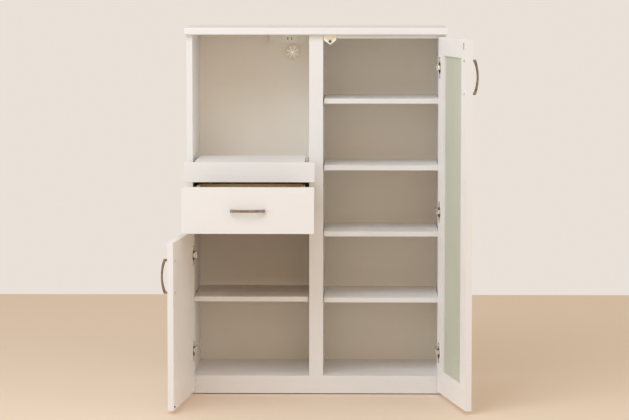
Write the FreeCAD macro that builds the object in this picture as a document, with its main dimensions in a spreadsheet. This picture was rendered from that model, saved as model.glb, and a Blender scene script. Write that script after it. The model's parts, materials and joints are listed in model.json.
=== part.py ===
import FreeCAD, Part
import os
import re

import Sketcher

# White kitchen cabinet: an open niche over a slide-out shelf, a drawer and a cupboard on the left,
# and a tall cupboard with a glazed door on the right. It is shown open, as it stands in the shop.
# X runs to the right, Y to the back and Z up. The origin lies on the floor, in the middle of the carcass.

doc = FreeCAD.newDocument("kitchen_cabinet")
dims = doc.addObject("Spreadsheet::Sheet", "dims")

sizes = {
    # Carcass boards
    "cabinet_width": 790,
    "cabinet_height": 1125,
    "carcass_depth": 380,
    "side_thick": 18,
    "partition_thick": 42,
    "top_thick": 22,
    "top_side_overhang": 5,
    "top_edge_radius": 4,
    "bottom_thick": 20,
    "plinth_height": 34,
    "plinth_thick": 18,
    "back_thick": 5,
    "back_inset": 8,
    "top_rail_height": 11,
    "top_rail_depth": 20,
    "top_rail_setback": 3,
    "fixed_board_thick": 15,
    "niche_floor_drop": 5,
    "drawer_floor_drop": 7,
    # Glides under the sides
    "glide_height": 3,
    "glide_radius": 8,
    "glide_inset": 30,
    # Loose shelves and the pins that carry them
    "shelf_thick": 15,
    "shelf_setback": 15,
    "shelf_depth": 320,
    "shelf_side_gap": 3,
    "left_shelf_share": 0.551,
    "right_shelf_a_share": 0.8136,
    "right_shelf_b_share": 0.6185,
    "right_shelf_c_share": 0.4245,
    "right_shelf_d_share": 0.2300,
    "shelf_pin_radius": 2.5,
    "shelf_pin_reach": 9,
    "shelf_pin_sunk": 8,
    "shelf_pin_inset": 40,
    # Doors and overlay fronts
    "door_thick": 18,
    "door_gap": 4,
    "door_side_reveal": 1,
    "centre_gap": 3,
    "door_bottom": 11,
    "left_door_height": 495,
    "door_top_gap": 6,
    "front_edge_radius": 1.5,
    "left_door_open": 95.5,
    "right_door_open": 100.5,
    "stile_width": 76,
    "frame_top_height": 55,
    "frame_bottom_height": 70,
    "bead_width": 8,
    "rebate_depth": 9,
    "glass_thick": 4,
    "glass_play": 0.3,
    # Drawer
    "left_door_gap": 14,
    "drawer_front_height": 138,
    "drawer_pull": 250,
    "drawer_side_thick": 12,
    "drawer_box_height": 112,
    "drawer_box_rise": 11,
    "drawer_box_length": 330,
    "drawer_bottom_thick": 5,
    "drawer_bottom_rise": 10,
    "drawer_groove": 6,
    "groove_play": 0.1,
    "drawer_slide_rise": 45,
    # Slide-out shelf of the niche
    "fascia_gap": 7,
    "fascia_height": 60,
    "fascia_lip": 2,
    "shelf_pull": 140,
    "tray_thick": 15,
    "tray_length": 340,
    "batten_width": 18,
    "batten_height": 32,
    # Telescopic slides: three nested channels on each side
    "slide_space": 12.7,
    "slide_height": 35,
    "slide_sheet": 1.2,
    "slide_play": 0.3,
    "slide_length": 320,
    "slide_setback": 4,
    "slide_outer_depth": 9.5,
    "slide_middle_web": 2,
    "slide_middle_lip": 10.5,
    "slide_inner_lip": 4,
    # Concealed cup hinges
    "pin_edge": 9.5,
    "pin_depth": 11,
    "pin_radius": 1.25,
    "pin_reach": 12.2,
    "pin_play": 0.06,
    "cup_edge": 3,
    "cup_radius": 17.5,
    "cup_wall": 1,
    "cup_depth": 13.5,
    "cup_play": 0.1,
    "flange_thick": 1,
    "flange_height": 65,
    "flange_width": 17,
    "knuckle_radius": 2.1,
    "nose_width": 13,
    "nose_sheet": 1.6,
    "nose_reach": 16.2,
    "arm_sheet": 2.2,
    "arm_start": 16,
    "arm_length": 58,
    "arm_width": 17,
    "arm_thick": 10,
    "arm_bevel": 3,
    "hinge_plate_thick": 2,
    "hinge_plate_height": 50,
    "hinge_plate_length": 36,
    "hinge_plate_inset": 18,
    "plate_wing_width": 16,
    "left_hinge_drop": 76,
    "left_hinge_rise": 126,
    "right_hinge_drop": 93,
    "right_hinge_rise": 122,
    "right_hinge_share": 0.5095,
    # Bow handles with their screws
    "handle_pitch": 96,
    "handle_post": 7,
    "handle_shoulder": 15,
    "handle_reach": 23.5,
    "handle_bar": 5.5,
    "handle_width": 8,
    "handle_bevel": 1.4,
    "handle_from_edge": 30,
    "left_handle_drop": 102,
    "right_handle_drop": 110,
    "screw_radius": 2,
    "screw_head_radius": 4,
    "screw_head_thick": 2.2,
    "screw_bite": 8,
    "screw_play": 0.1,
    # Magnetic catch of the glazed door, its strike and the bumper of the plain door
    "catch_gap": 3,
    "catch_width": 37,
    "catch_shoulder": 17,
    "catch_height": 30,
    "catch_thick": 2.5,
    "magnet_radius": 4,
    "magnet_drop": 20,
    "closing_play": 0.4,
    "strike_width": 12,
    "strike_height": 20,
    "strike_thick": 1.2,
    "strike_drop": 10,
    "bumper_radius": 3,
    "bumper_thick": 3,
    "bumper_inset": 10,
    # Socket box and cord grommet at the back of the niche
    "outlet_width": 129,
    "outlet_height": 36,
    "outlet_depth": 45,
    "outlet_side_gap": 3,
    "socket_width": 44,
    "socket_height": 26,
    "socket_depth": 8,
    "slot_width": 2.4,
    "slot_height": 8.5,
    "slot_pitch": 12.7,
    "slot_depth": 6,
    "grommet_from_partition": 60,
    "grommet_drop": 63,
    "grommet_radius": 22,
    "grommet_wall": 2,
    "grommet_rim": 3,
    "grommet_rim_thick": 2,
    # How far a cutting shape runs past the face that it cuts
    "overrun": 1,
}

for row, (alias, number) in enumerate(sizes.items(), start=1):
    dims.set(f"A{row}", alias)
    dims.set(f"B{row}", str(number))
    dims.setAlias(f"B{row}", alias)
doc.recompute()

nodes = []
ACROSS = FreeCAD.Vector(1, 0, 0)
BACKWARD = FreeCAD.Vector(0, 1, 0)
UPWARD = FreeCAD.Vector(0, 0, 1)
PEG_SIDES = 12
turned_to = {
    "x": FreeCAD.Rotation(BACKWARD, 90),
    "y": FreeCAD.Rotation(ACROSS, -90),
    "z": FreeCAD.Rotation(),
}


def tie(text):
    """Name the sheet in front of each of its aliases."""
    return re.sub(r"[a-z][a-z_]+", lambda word: "dims." + word[0] if word[0] in sizes else word[0], text)


def bind(thing, quality, text):
    thing.setExpression(quality, tie(text))


def set_at(thing, x, y, z):
    for axis, place in zip("xyz", (x, y, z)):
        bind(thing, f"Placement.Base.{axis}", place)


def board(name, x, y, z):
    """A square-edged board between a low and a high place on each axis."""
    box = doc.addObject("Part::Box", name)
    for side, (low, high) in zip(("Length", "Width", "Height"), (x, y, z)):
        bind(box, side, f"({high}) - ({low})")
    set_at(box, x[0], y[0], z[0])
    return box


def eased_board(name, x, y, z, along, radius):
    """A board with the four edges that run along one axis rounded."""
    body = doc.addObject("PartDesign::Body", name)
    block = body.newObject("PartDesign::AdditiveBox", name + "_block")
    for side, (low, high) in zip(("Length", "Width", "Height"), (x, y, z)):
        bind(block, side, f"({high}) - ({low})")
    set_at(block, x[0], y[0], z[0])
    doc.recompute()
    rounding = body.newObject("PartDesign::Fillet", name + "_rounding")
    sides = enumerate(block.Shape.Edges, start=1)
    rounding.Base = (block, [f"Edge{number}" for number, side in sides if side.Curve.Direction.dot(along)])
    bind(rounding, "Radius", radius)
    return body


def rod(name, axis, start, radius, length):
    """A round bar from its start along one axis."""
    bar = doc.addObject("Part::Cylinder", name)
    bar.Placement = FreeCAD.Placement(FreeCAD.Vector(), turned_to[axis])
    bind(bar, "Radius", radius)
    bind(bar, "Height", length)
    set_at(bar, *start)
    return bar


def peg(name, axis, start, radius, length):
    """A small pin, screw or bore that repeats, with a few flat sides for a round."""
    bar = doc.addObject("Part::Prism", name)
    bar.Polygon = PEG_SIDES
    bar.Placement = FreeCAD.Placement(FreeCAD.Vector(), turned_to[axis])
    bind(bar, "Circumradius", radius)
    bind(bar, "Height", length)
    set_at(bar, *start)
    return bar


def group(name, pieces):
    together = doc.addObject("Part::Compound", name)
    together.Links = pieces
    return together


def fuse(name, pieces):
    joined = doc.addObject("Part::MultiFuse", name)
    joined.Shapes = pieces
    return joined


def cut(name, base, tools):
    """A piece with one or more shapes taken out of it."""
    result = doc.addObject("Part::Cut", name)
    result.Base = base
    result.Tool = tools[0] if len(tools) == 1 else group(name + "_cuts", tools)
    return result


def outline(body, name, role, points, arcs=()):
    """A closed sketch through the points; arcs maps the number of a side to its radius."""
    arcs = dict(arcs)
    sketch = body.newObject("Sketcher::SketchObject", name)
    plane = next(part for part in body.Origin.OriginFeatures if part.Role == role)
    sketch.AttachmentSupport = [(plane, "")]
    sketch.MapMode = "FlatFace"
    corners = []
    for across, along in points:
        corners.append(FreeCAD.Vector(dims.evalExpression(tie(across)), dims.evalExpression(tie(along)), 0))
    count = len(corners)
    for side in range(count):
        start = corners[side]
        end = corners[(side + 1) % count]
        if side in arcs:
            bulge, radius = arcs[side]
            middle = (start + end) / 2 + FreeCAD.Vector(0, dims.evalExpression(tie(bulge)), 0)
            sketch.addGeometry(Part.Arc(start, middle, end))
        else:
            sketch.addGeometry(Part.LineSegment(start, end))
    # An arc that runs clockwise swaps its ends in the sketch, so each end is looked up by its place.
    ends = []
    for side in range(count):
        first = sketch.getPoint(side, 1)
        swapped = first.distanceToPoint(corners[side]) > first.distanceToPoint(corners[(side + 1) % count])
        ends.append((2, 1) if swapped else (1, 2))
    for side in range(count):
        after = (side + 1) % count
        sketch.addConstraint(Sketcher.Constraint("Coincident", side, ends[side][1], after, ends[after][0]))
    for side, (across, along) in enumerate(points):
        for kind, text, number in (
            ("DistanceX", across, corners[side].x),
            ("DistanceY", along, corners[side].y),
        ):
            held = sketch.addConstraint(Sketcher.Constraint(kind, -1, 1, side, ends[side][0], number))
            bind(sketch, f"Constraints[{held}]", text)
    for side, (bulge, radius) in arcs.items():
        number = dims.evalExpression(tie(radius))
        held = sketch.addConstraint(Sketcher.Constraint("Radius", side, number))
        bind(sketch, f"Constraints[{held}]", radius)
    return sketch


def pad(body, name, sketch, length, centred=False, turned=False):
    block = body.newObject("PartDesign::Pad", name)
    block.Profile = sketch
    bind(block, "Length", length)
    block.Midplane = centred
    block.Reversed = turned
    return block


# Places that many pieces share
side_inner = "(cabinet_width / 2 - side_thick)"
front = "(-carcass_depth / 2)"
rear = "(carcass_depth / 2)"
back_face = "(carcass_depth / 2 - back_inset - back_thick)"
board_low = "(glide_height + plinth_height)"
floor_top = "(glide_height + plinth_height + bottom_thick)"
under_top = "(cabinet_height - top_thick)"
half_partition = "(partition_thick / 2)"
left_inner = (f"-{side_inner}", f"-{half_partition}")
right_inner = (half_partition, side_inner)
left_door_high = "(door_bottom + left_door_height)"
drawer_low = f"({left_door_high} + left_door_gap)"
drawer_high = f"({drawer_low} + drawer_front_height)"
drawer_floor_high = f"({drawer_low} - drawer_floor_drop)"
drawer_floor_low = f"({drawer_floor_high} - fixed_board_thick)"
fascia_low = f"({drawer_high} + fascia_gap)"
fascia_high = f"({fascia_low} + fascia_height)"
right_door_high = f"({under_top} - door_top_gap)"
door_width = "(cabinet_width / 2 - door_side_reveal - centre_gap / 2)"
front_inner = f"({front} - door_gap)"
front_outer = f"({front} - door_gap - door_thick)"
pin_x = "(cabinet_width / 2 - door_side_reveal - pin_edge)"
pin_y = f"({front} - door_gap - pin_depth)"

# Each moving frame: where its own origin lies and how far it is turned about the vertical
frames = {
    "drawer": ("0", "-drawer_pull", "0"),
    "drawer_middle": ("0", "-drawer_pull / 2", "0"),
    "tray": ("0", "-shelf_pull", "0"),
    "tray_middle": ("0", "-shelf_pull / 2", "0"),
    "left": (f"-{pin_x}", pin_y, "-left_door_open"),
    "right": (pin_x, pin_y, "right_door_open"),
}


def node(name, made):
    """A finished piece of the carcass."""
    made.Label = name
    nodes.append(made)
    return made


def riding(name, pieces, frame):
    """A finished piece, or a set of like pieces, carried by a moving frame."""
    x, y, angle = frames[frame]
    carried = group(name, pieces)
    set_at(carried, x, y, "0")
    bind(carried, "Placement.Rotation.Angle", angle)
    return node(name, carried)


# Carcass: sides, partition, top, bottom, plinth and backs


def shelf_pin(name, wall, inward, y, shelf_height):
    """A pin half sunk in a wall, and the bore it sits in."""
    z = f"({shelf_height} - shelf_thick - shelf_pin_radius)"
    start = f"({wall} - shelf_pin_sunk)" if inward > 0 else f"({wall} - shelf_pin_reach)"
    pin = peg(name, "x", (start, y, z), "shelf_pin_radius", "shelf_pin_sunk + shelf_pin_reach")
    bore_start = start if inward > 0 else f"({wall} - overrun)"
    bore = peg(name + "_bore", "x", (bore_start, y, z), "shelf_pin_radius", "shelf_pin_sunk + overrun")
    return pin, bore


shelf_front = f"({front} + shelf_setback)"
right_shelf_shares = ("right_shelf_a_share", "right_shelf_b_share", "right_shelf_c_share", "right_shelf_d_share")
shelf_rows = {
    "left_shelf": (left_inner, ("left_shelf_share",), drawer_floor_low),
    "right_shelf": (right_inner, right_shelf_shares, under_top),
}
shelf_pins = []
wall_bores = {wall: [] for wall in ("left_side", "partition", "right_side")}
for row, (walls, shares, ceiling) in shelf_rows.items():
    low_wall = "left_side" if row == "left_shelf" else "partition"
    high_wall = "partition" if row == "left_shelf" else "right_side"
    for number, share in enumerate(shares, start=1):
        name = row if len(shares) == 1 else f"{row}_{number}"
        height = f"({floor_top} + {share} * ({ceiling} - {floor_top}))"
        x = (f"({walls[0]} + shelf_side_gap)", f"({walls[1]} - shelf_side_gap)")
        y = (shelf_front, f"({shelf_front} + shelf_depth)")
        node(name, board(name, x, y, (f"({height} - shelf_thick)", height)))
        for end, place in (("front", f"({y[0]} + shelf_pin_inset)"), ("back", f"({y[1]} - shelf_pin_inset)")):
            for wall, bores, inward in ((walls[0], low_wall, 1), (walls[1], high_wall, -1)):
                pin, bore = shelf_pin(f"{name}_{end}_pin_{bores}", wall, inward, place, height)
                shelf_pins.append(pin)
                wall_bores[bores].append(bore)
node("shelf_pins", group("shelf_pins", shelf_pins))

side_y = (front, rear)
side_z = ("glide_height", under_top)
left_blank = board("left_side_blank", ("-cabinet_width / 2", f"-{side_inner}"), side_y, side_z)
right_blank = board("right_side_blank", (side_inner, "cabinet_width / 2"), side_y, side_z)
partition_blank = board(
    "partition_blank", (f"-{half_partition}", half_partition), (front, back_face), (floor_top, under_top)
)
node("left_side_panel", cut("left_side_panel", left_blank, wall_bores["left_side"]))
node("right_side_panel", cut("right_side_panel", right_blank, wall_bores["right_side"]))
node("centre_partition", cut("centre_partition", partition_blank, wall_bores["partition"]))

top_x = ("-cabinet_width / 2 - top_side_overhang", "cabinet_width / 2 + top_side_overhang")
top_z = (under_top, "cabinet_height")
node("top_board", eased_board("top_board", top_x, (front_outer, rear), top_z, ACROSS, "top_edge_radius"))

across = (f"-{side_inner}", side_inner)
node("bottom_board", board("bottom_board", across, (front, back_face), (board_low, floor_top)))
plinth_z = ("glide_height", board_low)
node("front_plinth", board("front_plinth", across, (front, f"{front} + plinth_thick"), plinth_z))
node("rear_plinth", board("rear_plinth", across, (f"{back_face} - plinth_thick", back_face), plinth_z))
bearer_x = ("-plinth_thick / 2", "plinth_thick / 2")
bearer_y = (f"({front} + plinth_thick)", f"({back_face} - plinth_thick)")
node("plinth_bearer", board("plinth_bearer", bearer_x, bearer_y, plinth_z))

rail_front = f"({front} + top_rail_setback)"
rail_z = (f"({under_top} - top_rail_height)", under_top)
node("right_top_rail", board("right_top_rail", right_inner, (rail_front, f"{rail_front} + top_rail_depth"), rail_z))

niche_floor_low = f"({drawer_high} - niche_floor_drop)"
niche_floor_z = (niche_floor_low, f"({niche_floor_low} + fixed_board_thick)")
node("niche_floor_board", board("niche_floor_board", left_inner, (front, back_face), niche_floor_z))
drawer_floor_z = (drawer_floor_low, drawer_floor_high)
node("drawer_floor_board", board("drawer_floor_board", left_inner, (front, back_face), drawer_floor_z))

glides = [peg("glide", "z", ("0", "0", "0"), "glide_radius", "glide_height")]
for end_x in ("-(cabinet_width - side_thick) / 2", "(cabinet_width - side_thick) / 2"):
    for end_y in (f"{front} + glide_inset", f"{rear} - glide_inset"):
        glides.append(peg("glide", "z", (end_x, end_y, "0"), "glide_radius", "glide_height"))
node("floor_glides", group("floor_glides", glides))

# Back panels, the cord grommet in the left one and the socket box over it
back_y = (back_face, f"({back_face} + back_thick)")
back_z = (board_low, under_top)
grommet_x = f"(-{half_partition} - grommet_from_partition)"
grommet_z = f"({under_top} - grommet_drop)"
grommet_front = f"({back_face} - grommet_rim_thick)"
grommet_hole = rod(
    "grommet_hole", "y", (grommet_x, f"{back_face} - overrun", grommet_z), "grommet_radius",
    "back_thick + 2 * overrun",
)
left_back_blank = board("left_back_blank", (f"-{side_inner}", "0"), back_y, back_z)
node("left_back_panel", cut("left_back_panel", left_back_blank, [grommet_hole]))
node("right_back_panel", board("right_back_panel", ("0", side_inner), back_y, back_z))

grommet_at = (grommet_x, grommet_front, grommet_z)
grommet_rim = rod("grommet_rim", "y", grommet_at, "grommet_radius + grommet_rim", "grommet_rim_thick")
grommet_sleeve = rod("grommet_sleeve", "y", grommet_at, "grommet_radius", "grommet_rim_thick + back_thick")
grommet_bore = rod(
    "grommet_bore", "y", (grommet_x, f"{grommet_front} - overrun", grommet_z), "grommet_radius - grommet_wall",
    "grommet_rim_thick + back_thick + 2 * overrun",
)
node("cord_grommet", cut("cord_grommet", fuse("grommet_ring", [grommet_rim, grommet_sleeve]), [grommet_bore]))

outlet_right = f"(-{half_partition} - outlet_side_gap)"
outlet_middle = f"({outlet_right} - outlet_width / 2)"
outlet_front = f"({back_face} - outlet_depth)"
outlet_centre = f"({under_top} - outlet_height / 2)"
socket_x = (f"({outlet_middle} - socket_width / 2)", f"({outlet_middle} + socket_width / 2)")
socket_z = (f"({outlet_centre} - socket_height / 2)", f"({outlet_centre} + socket_height / 2)")
socket_y = (outlet_front, f"({outlet_front} + socket_depth)")
outlet_blank = board(
    "outlet_blank", (f"({outlet_right} - outlet_width)", outlet_right), (outlet_front, back_face),
    (f"({under_top} - outlet_height)", under_top),
)
socket_seat = board("socket_seat", socket_x, (f"{outlet_front} - overrun", socket_y[1]), socket_z)
node("outlet_box", cut("outlet_box", outlet_blank, [socket_seat]))
slots = []
for side in ("-", "+"):
    slot_centre = f"({outlet_middle} {side} slot_pitch / 2)"
    slot_x = (f"({slot_centre} - slot_width / 2)", f"({slot_centre} + slot_width / 2)")
    slot_z = (f"({outlet_centre} - slot_height / 2)", f"({outlet_centre} + slot_height / 2)")
    slots.append(board("socket_slot", slot_x, (f"{outlet_front} - overrun", f"{outlet_front} + slot_depth"), slot_z))
node("outlet_socket", cut("outlet_socket", board("socket_blank", socket_x, socket_y, socket_z), slots))

# Magnetic catch that hangs from the top rail: a house-shaped plate with a round magnet in it
catch_left = f"({half_partition} + catch_gap)"
catch_middle = f"({catch_left} + catch_width / 2)"
magnet_z = f"({under_top} - magnet_drop)"
magnet_start = f"({rail_front} - door_gap - top_rail_setback + strike_thick + closing_play)"
catch_body = doc.addObject("PartDesign::Body", "catch_plate_body")
catch_points = [
    ("0", "0"),
    ("catch_width", "0"),
    ("catch_width", "-catch_shoulder"),
    ("catch_width / 2", "-catch_height"),
    ("0", "-catch_shoulder"),
]
pad(catch_body, "catch_plate_pad", outline(catch_body, "catch_outline", "XZ_Plane", catch_points), "catch_thick")
set_at(catch_body, catch_left, rail_front, under_top)
magnet_bore = rod(
    "magnet_bore", "y", (catch_middle, f"{rail_front} - catch_thick - overrun", magnet_z), "magnet_radius",
    "catch_thick + 2 * overrun",
)
node("catch_plate", cut("catch_plate", catch_body, [magnet_bore]))
magnet = rod(
    "catch_magnet", "y", (catch_middle, magnet_start, magnet_z), "magnet_radius", f"{rail_front} - {magnet_start}"
)
node("catch_magnet", magnet)


# Telescopic slides: an outer channel on the wall, a middle one in it, and an inner one on the drawer or tray


def channel(name, web, lip, toward, z_middle, height):
    """A folded steel channel: its web lies in one plane and its two lips reach to another."""
    body = doc.addObject("PartDesign::Body", name)
    inside = f"({web} + {toward} * slide_sheet)"
    low = f"({z_middle} - ({height}) / 2)"
    high = f"({z_middle} + ({height}) / 2)"
    points = [
        (web, low),
        (lip, low),
        (lip, f"({low} + slide_sheet)"),
        (inside, f"({low} + slide_sheet)"),
        (inside, f"({high} - slide_sheet)"),
        (lip, f"({high} - slide_sheet)"),
        (lip, high),
        (web, high),
    ]
    section = outline(body, name + "_section", "XZ_Plane", points)
    pad(body, name + "_length", section, "slide_length", turned=True)
    bind(body, "Placement.Base.y", f"{front} + slide_setback")
    return body


middle_height = "(slide_height - 2 * slide_sheet - 2 * slide_play)"
inner_height = f"({middle_height} - 2 * slide_sheet - 2 * slide_play)"
outer_rails = []


def slide_pair(name, z_middle, frame):
    """The left and right slides of one drawer: the outer channels stay on the walls and the others run out."""
    middle, inner = [], []
    for hand, wall, way in (("left", left_inner[0], 1), ("right", left_inner[1], -1)):
        tag = f"{name}_{hand}"
        lip = f"({wall} + {way} * slide_outer_depth)"
        outer_rails.append(channel(f"{tag}_outer", wall, lip, way, z_middle, "slide_height"))
        web = f"({wall} + {way} * slide_middle_web)"
        lip = f"({wall} + {way} * slide_middle_lip)"
        middle.append(channel(f"{tag}_middle", web, lip, way, z_middle, middle_height))
        web = f"({wall} + {way} * slide_space)"
        lip = f"({wall} + {way} * slide_inner_lip)"
        inner.append(channel(f"{tag}_inner", web, lip, -way, z_middle, inner_height))
    riding(f"{name}_middle_rails", middle, frame + "_middle")
    riding(f"{name}_inner_rails", inner, frame)


# Bow handle: two short posts and an arched bar, lying along X and standing out toward the front


def arch_radius(span, rise):
    return f"((({span}) / 2)^2 + ({rise})^2) / (2 * ({rise}))"


def handle(name):
    body = doc.addObject("PartDesign::Body", name)
    end = "((handle_pitch + handle_post) / 2)"
    inner_end = "((handle_pitch - handle_post) / 2)"
    rise = "(handle_reach - handle_shoulder)"
    hollow = "(handle_shoulder - handle_bar)"
    points = [
        (f"-{end}", "0"),
        (f"-{end}", "-handle_shoulder"),
        (end, "-handle_shoulder"),
        (end, "0"),
        (inner_end, "0"),
        (inner_end, f"-{hollow}"),
        (f"-{inner_end}", f"-{hollow}"),
        (f"-{inner_end}", "0"),
    ]
    arcs = {
        1: (f"-{rise}", arch_radius(f"2 * {end}", rise)),
        5: (f"-{rise}", arch_radius(f"2 * {inner_end}", rise)),
    }
    side = outline(body, name + "_side", "XY_Plane", points, arcs)
    bow = pad(body, name + "_bow", side, "handle_width", centred=True)
    doc.recompute()
    bevel = body.newObject("PartDesign::Chamfer", name + "_bevel")
    bevel.Base = (bow, ["Edge1"])
    bevel.UseAllEdges = True
    bind(bevel, "Size", "handle_bevel")
    for side in ("-", ""):
        thread = body.newObject("PartDesign::SubtractivePrism", name + "_thread")
        thread.Polygon = PEG_SIDES
        thread.Placement = FreeCAD.Placement(FreeCAD.Vector(), turned_to["y"])
        bind(thread, "Circumradius", "screw_radius")
        bind(thread, "Height", "screw_bite + overrun")
        set_at(thread, f"{side}handle_pitch / 2", "-screw_bite", "0")
    return body


def handle_screws(name, places, face, thick):
    """Two screws from inside a front into the handle's posts, with the bores that they pass through."""
    screws, bores = [], []
    for x, z in places:
        shank_start = (x, f"({face} - ({thick}) - screw_bite)", z)
        shank = peg(name + "_shank", "y", shank_start, "screw_radius", f"{thick} + screw_bite")
        head = peg(name + "_head", "y", (x, face, z), "screw_head_radius", "screw_head_thick")
        screws.append(fuse(name + "_screw", [shank, head]))
        bore_start = (x, f"({face} - ({thick}) - overrun)", z)
        bores.append(peg(name + "_bore", "y", bore_start, "screw_radius + screw_play", f"{thick} + 2 * overrun"))
    return screws, bores


# Drawer: overlay front, a four-sided box with its bottom in grooves, handle and slides
front_x = ("-(cabinet_width / 2 - door_side_reveal)", "-centre_gap / 2")
front_middle = f"(({front_x[0]} + {front_x[1]}) / 2)"
drawer_x = (f"({left_inner[0]} + slide_space)", f"({left_inner[1]} - slide_space)")
box_low = f"({drawer_low} + drawer_box_rise)"
box_high = f"({box_low} + drawer_box_height)"
box_front = front_inner
box_back = f"({box_front} + drawer_box_length)"
box_z = (box_low, box_high)
handle_z = f"({drawer_low} + drawer_front_height / 2)"
handle_places = [(f"({front_middle} {side} handle_pitch / 2)", handle_z) for side in ("-", "+")]
screw_face = f"({box_front} + drawer_side_thick)"
screws, bores = handle_screws("drawer_handle", handle_places, screw_face, "door_thick + drawer_side_thick")
drawer_front_blank = eased_board(
    "drawer_front_blank", front_x, (front_outer, front_inner), (drawer_low, drawer_high), ACROSS,
    "front_edge_radius",
)
riding("drawer_front", [cut("drawer_front_bored", drawer_front_blank, bores)], "drawer")
riding("drawer_handle_screws", screws, "drawer")
drawer_bow = handle("drawer_bow")
set_at(drawer_bow, front_middle, front_outer, handle_z)
riding("drawer_handle", [drawer_bow], "drawer")

inside_x = (f"({drawer_x[0]} + drawer_side_thick)", f"({drawer_x[1]} - drawer_side_thick)")
bottom_low = f"({box_low} + drawer_bottom_rise)"
bottom_high = f"({bottom_low} + drawer_bottom_thick)"
groove_x = (f"({inside_x[0]} - drawer_groove)", f"({inside_x[1]} + drawer_groove)")
groove_y = (f"({box_front} + drawer_side_thick - drawer_groove)", box_back)
groove = board(
    "drawer_groove_cut", groove_x, (groove_y[0], f"{groove_y[1]} + overrun"), (bottom_low, bottom_high)
)
for name, x in (("left", (drawer_x[0], inside_x[0])), ("right", (inside_x[1], drawer_x[1]))):
    blank = board(f"drawer_{name}_blank", x, (box_front, box_back), box_z)
    riding(f"drawer_{name}_side", [cut(f"drawer_{name}_grooved", blank, [groove])], "drawer")
inner_front = board("drawer_inner_blank", inside_x, (box_front, screw_face), box_z)
riding("drawer_inner_front", [cut("drawer_inner_grooved", inner_front, bores + [groove])], "drawer")
drawer_back_y = (f"({box_back} - drawer_side_thick)", box_back)
riding("drawer_back", [board("drawer_back_board", inside_x, drawer_back_y, (bottom_high, box_high))], "drawer")
bottom_x = (f"({groove_x[0]} + groove_play)", f"({groove_x[1]} - groove_play)")
bottom_y = (f"({groove_y[0]} + groove_play)", groove_y[1])
riding("drawer_bottom", [board("drawer_bottom_sheet", bottom_x, bottom_y, (bottom_low, bottom_high))], "drawer")
slide_pair("drawer", f"({box_low} + drawer_slide_rise)", "drawer")

# Slide-out shelf: a tray board on two battens behind a low fascia
tray_high = f"({fascia_high} - fascia_lip)"
tray_low = f"({tray_high} - tray_thick)"
tray_y = (front_inner, f"({front_inner} + tray_length)")
batten_low = f"({tray_low} - batten_height)"
fascia = eased_board(
    "fascia_board", front_x, (front_outer, front_inner), (fascia_low, fascia_high), ACROSS, "front_edge_radius"
)
riding("slide_shelf_fascia", [fascia], "tray")
riding("slide_shelf_board", [board("tray_board", drawer_x, tray_y, (tray_low, tray_high))], "tray")
battens = []
for x in (
    (drawer_x[0], f"({drawer_x[0]} + batten_width)"),
    (f"({drawer_x[1]} - batten_width)", drawer_x[1]),
):
    battens.append(board("tray_batten", x, tray_y, (batten_low, tray_low)))
riding("slide_shelf_battens", battens, "tray")
slide_pair("slide_shelf", f"({tray_low} - batten_height / 2)", "tray")
node("slide_outer_rails", group("slide_outer_rails", outer_rails))


# Cup hinges. On each door a place is given by its distance from the pin toward the middle of the door,
# and by its distance from the pin toward the carcass.


def sideways(hand, distance):
    return f"(-({distance}))" if hand == "right" else f"({distance})"


def across_door(hand, near, far):
    """The low and high X between two distances from the pin."""
    places = (sideways(hand, near), sideways(hand, far))
    return places if hand == "left" else places[::-1]


hinge_arms = []
hinge_plates = []
cup_centre = "(cup_edge + cup_radius - pin_edge)"
cup_inner = "(cup_radius - cup_wall)"
wall_distance = f"({pin_x} - {side_inner})"


def hinge_cup(hand, z):
    """The steel cup with its screw flange, and the round bore for it in the door."""
    x = sideways(hand, cup_centre)
    cup_low = "(pin_depth - cup_depth - cup_wall)"
    shell = rod("cup_shell", "y", (x, cup_low, z), "cup_radius", "cup_depth + cup_wall + flange_thick")
    wing_x = across_door(hand, f"({cup_centre} - flange_width / 2)", f"({cup_centre} + flange_width / 2)")
    wing_y = ("pin_depth", "(pin_depth + flange_thick)")
    ear = "((flange_height - flange_width) / 2)"
    wing = board("cup_wing", wing_x, wing_y, (f"({z} - {ear})", f"({z} + {ear})"))
    ears = [
        peg("cup_ear", "y", (x, "pin_depth", f"({z} {side} {ear})"), "flange_width / 2", "flange_thick")
        for side in ("-", "+")
    ]
    hollow_start = (x, "(pin_depth - cup_depth)", z)
    hollow = rod("cup_hollow", "y", hollow_start, cup_inner, "cup_depth + flange_thick + overrun")
    eye = peg("cup_eye", "z", ("0", "0", f"({z} - cup_radius)"), "pin_radius", "2 * cup_radius")
    cup = cut("hinge_cup", fuse("cup_solid", [shell, wing] + ears), [hollow, eye])
    bore_start = (x, f"({cup_low} - cup_play)", z)
    bore = rod("cup_bore", "y", bore_start, "cup_radius + cup_play", "cup_depth + cup_wall + cup_play + overrun")
    return cup, bore


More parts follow.
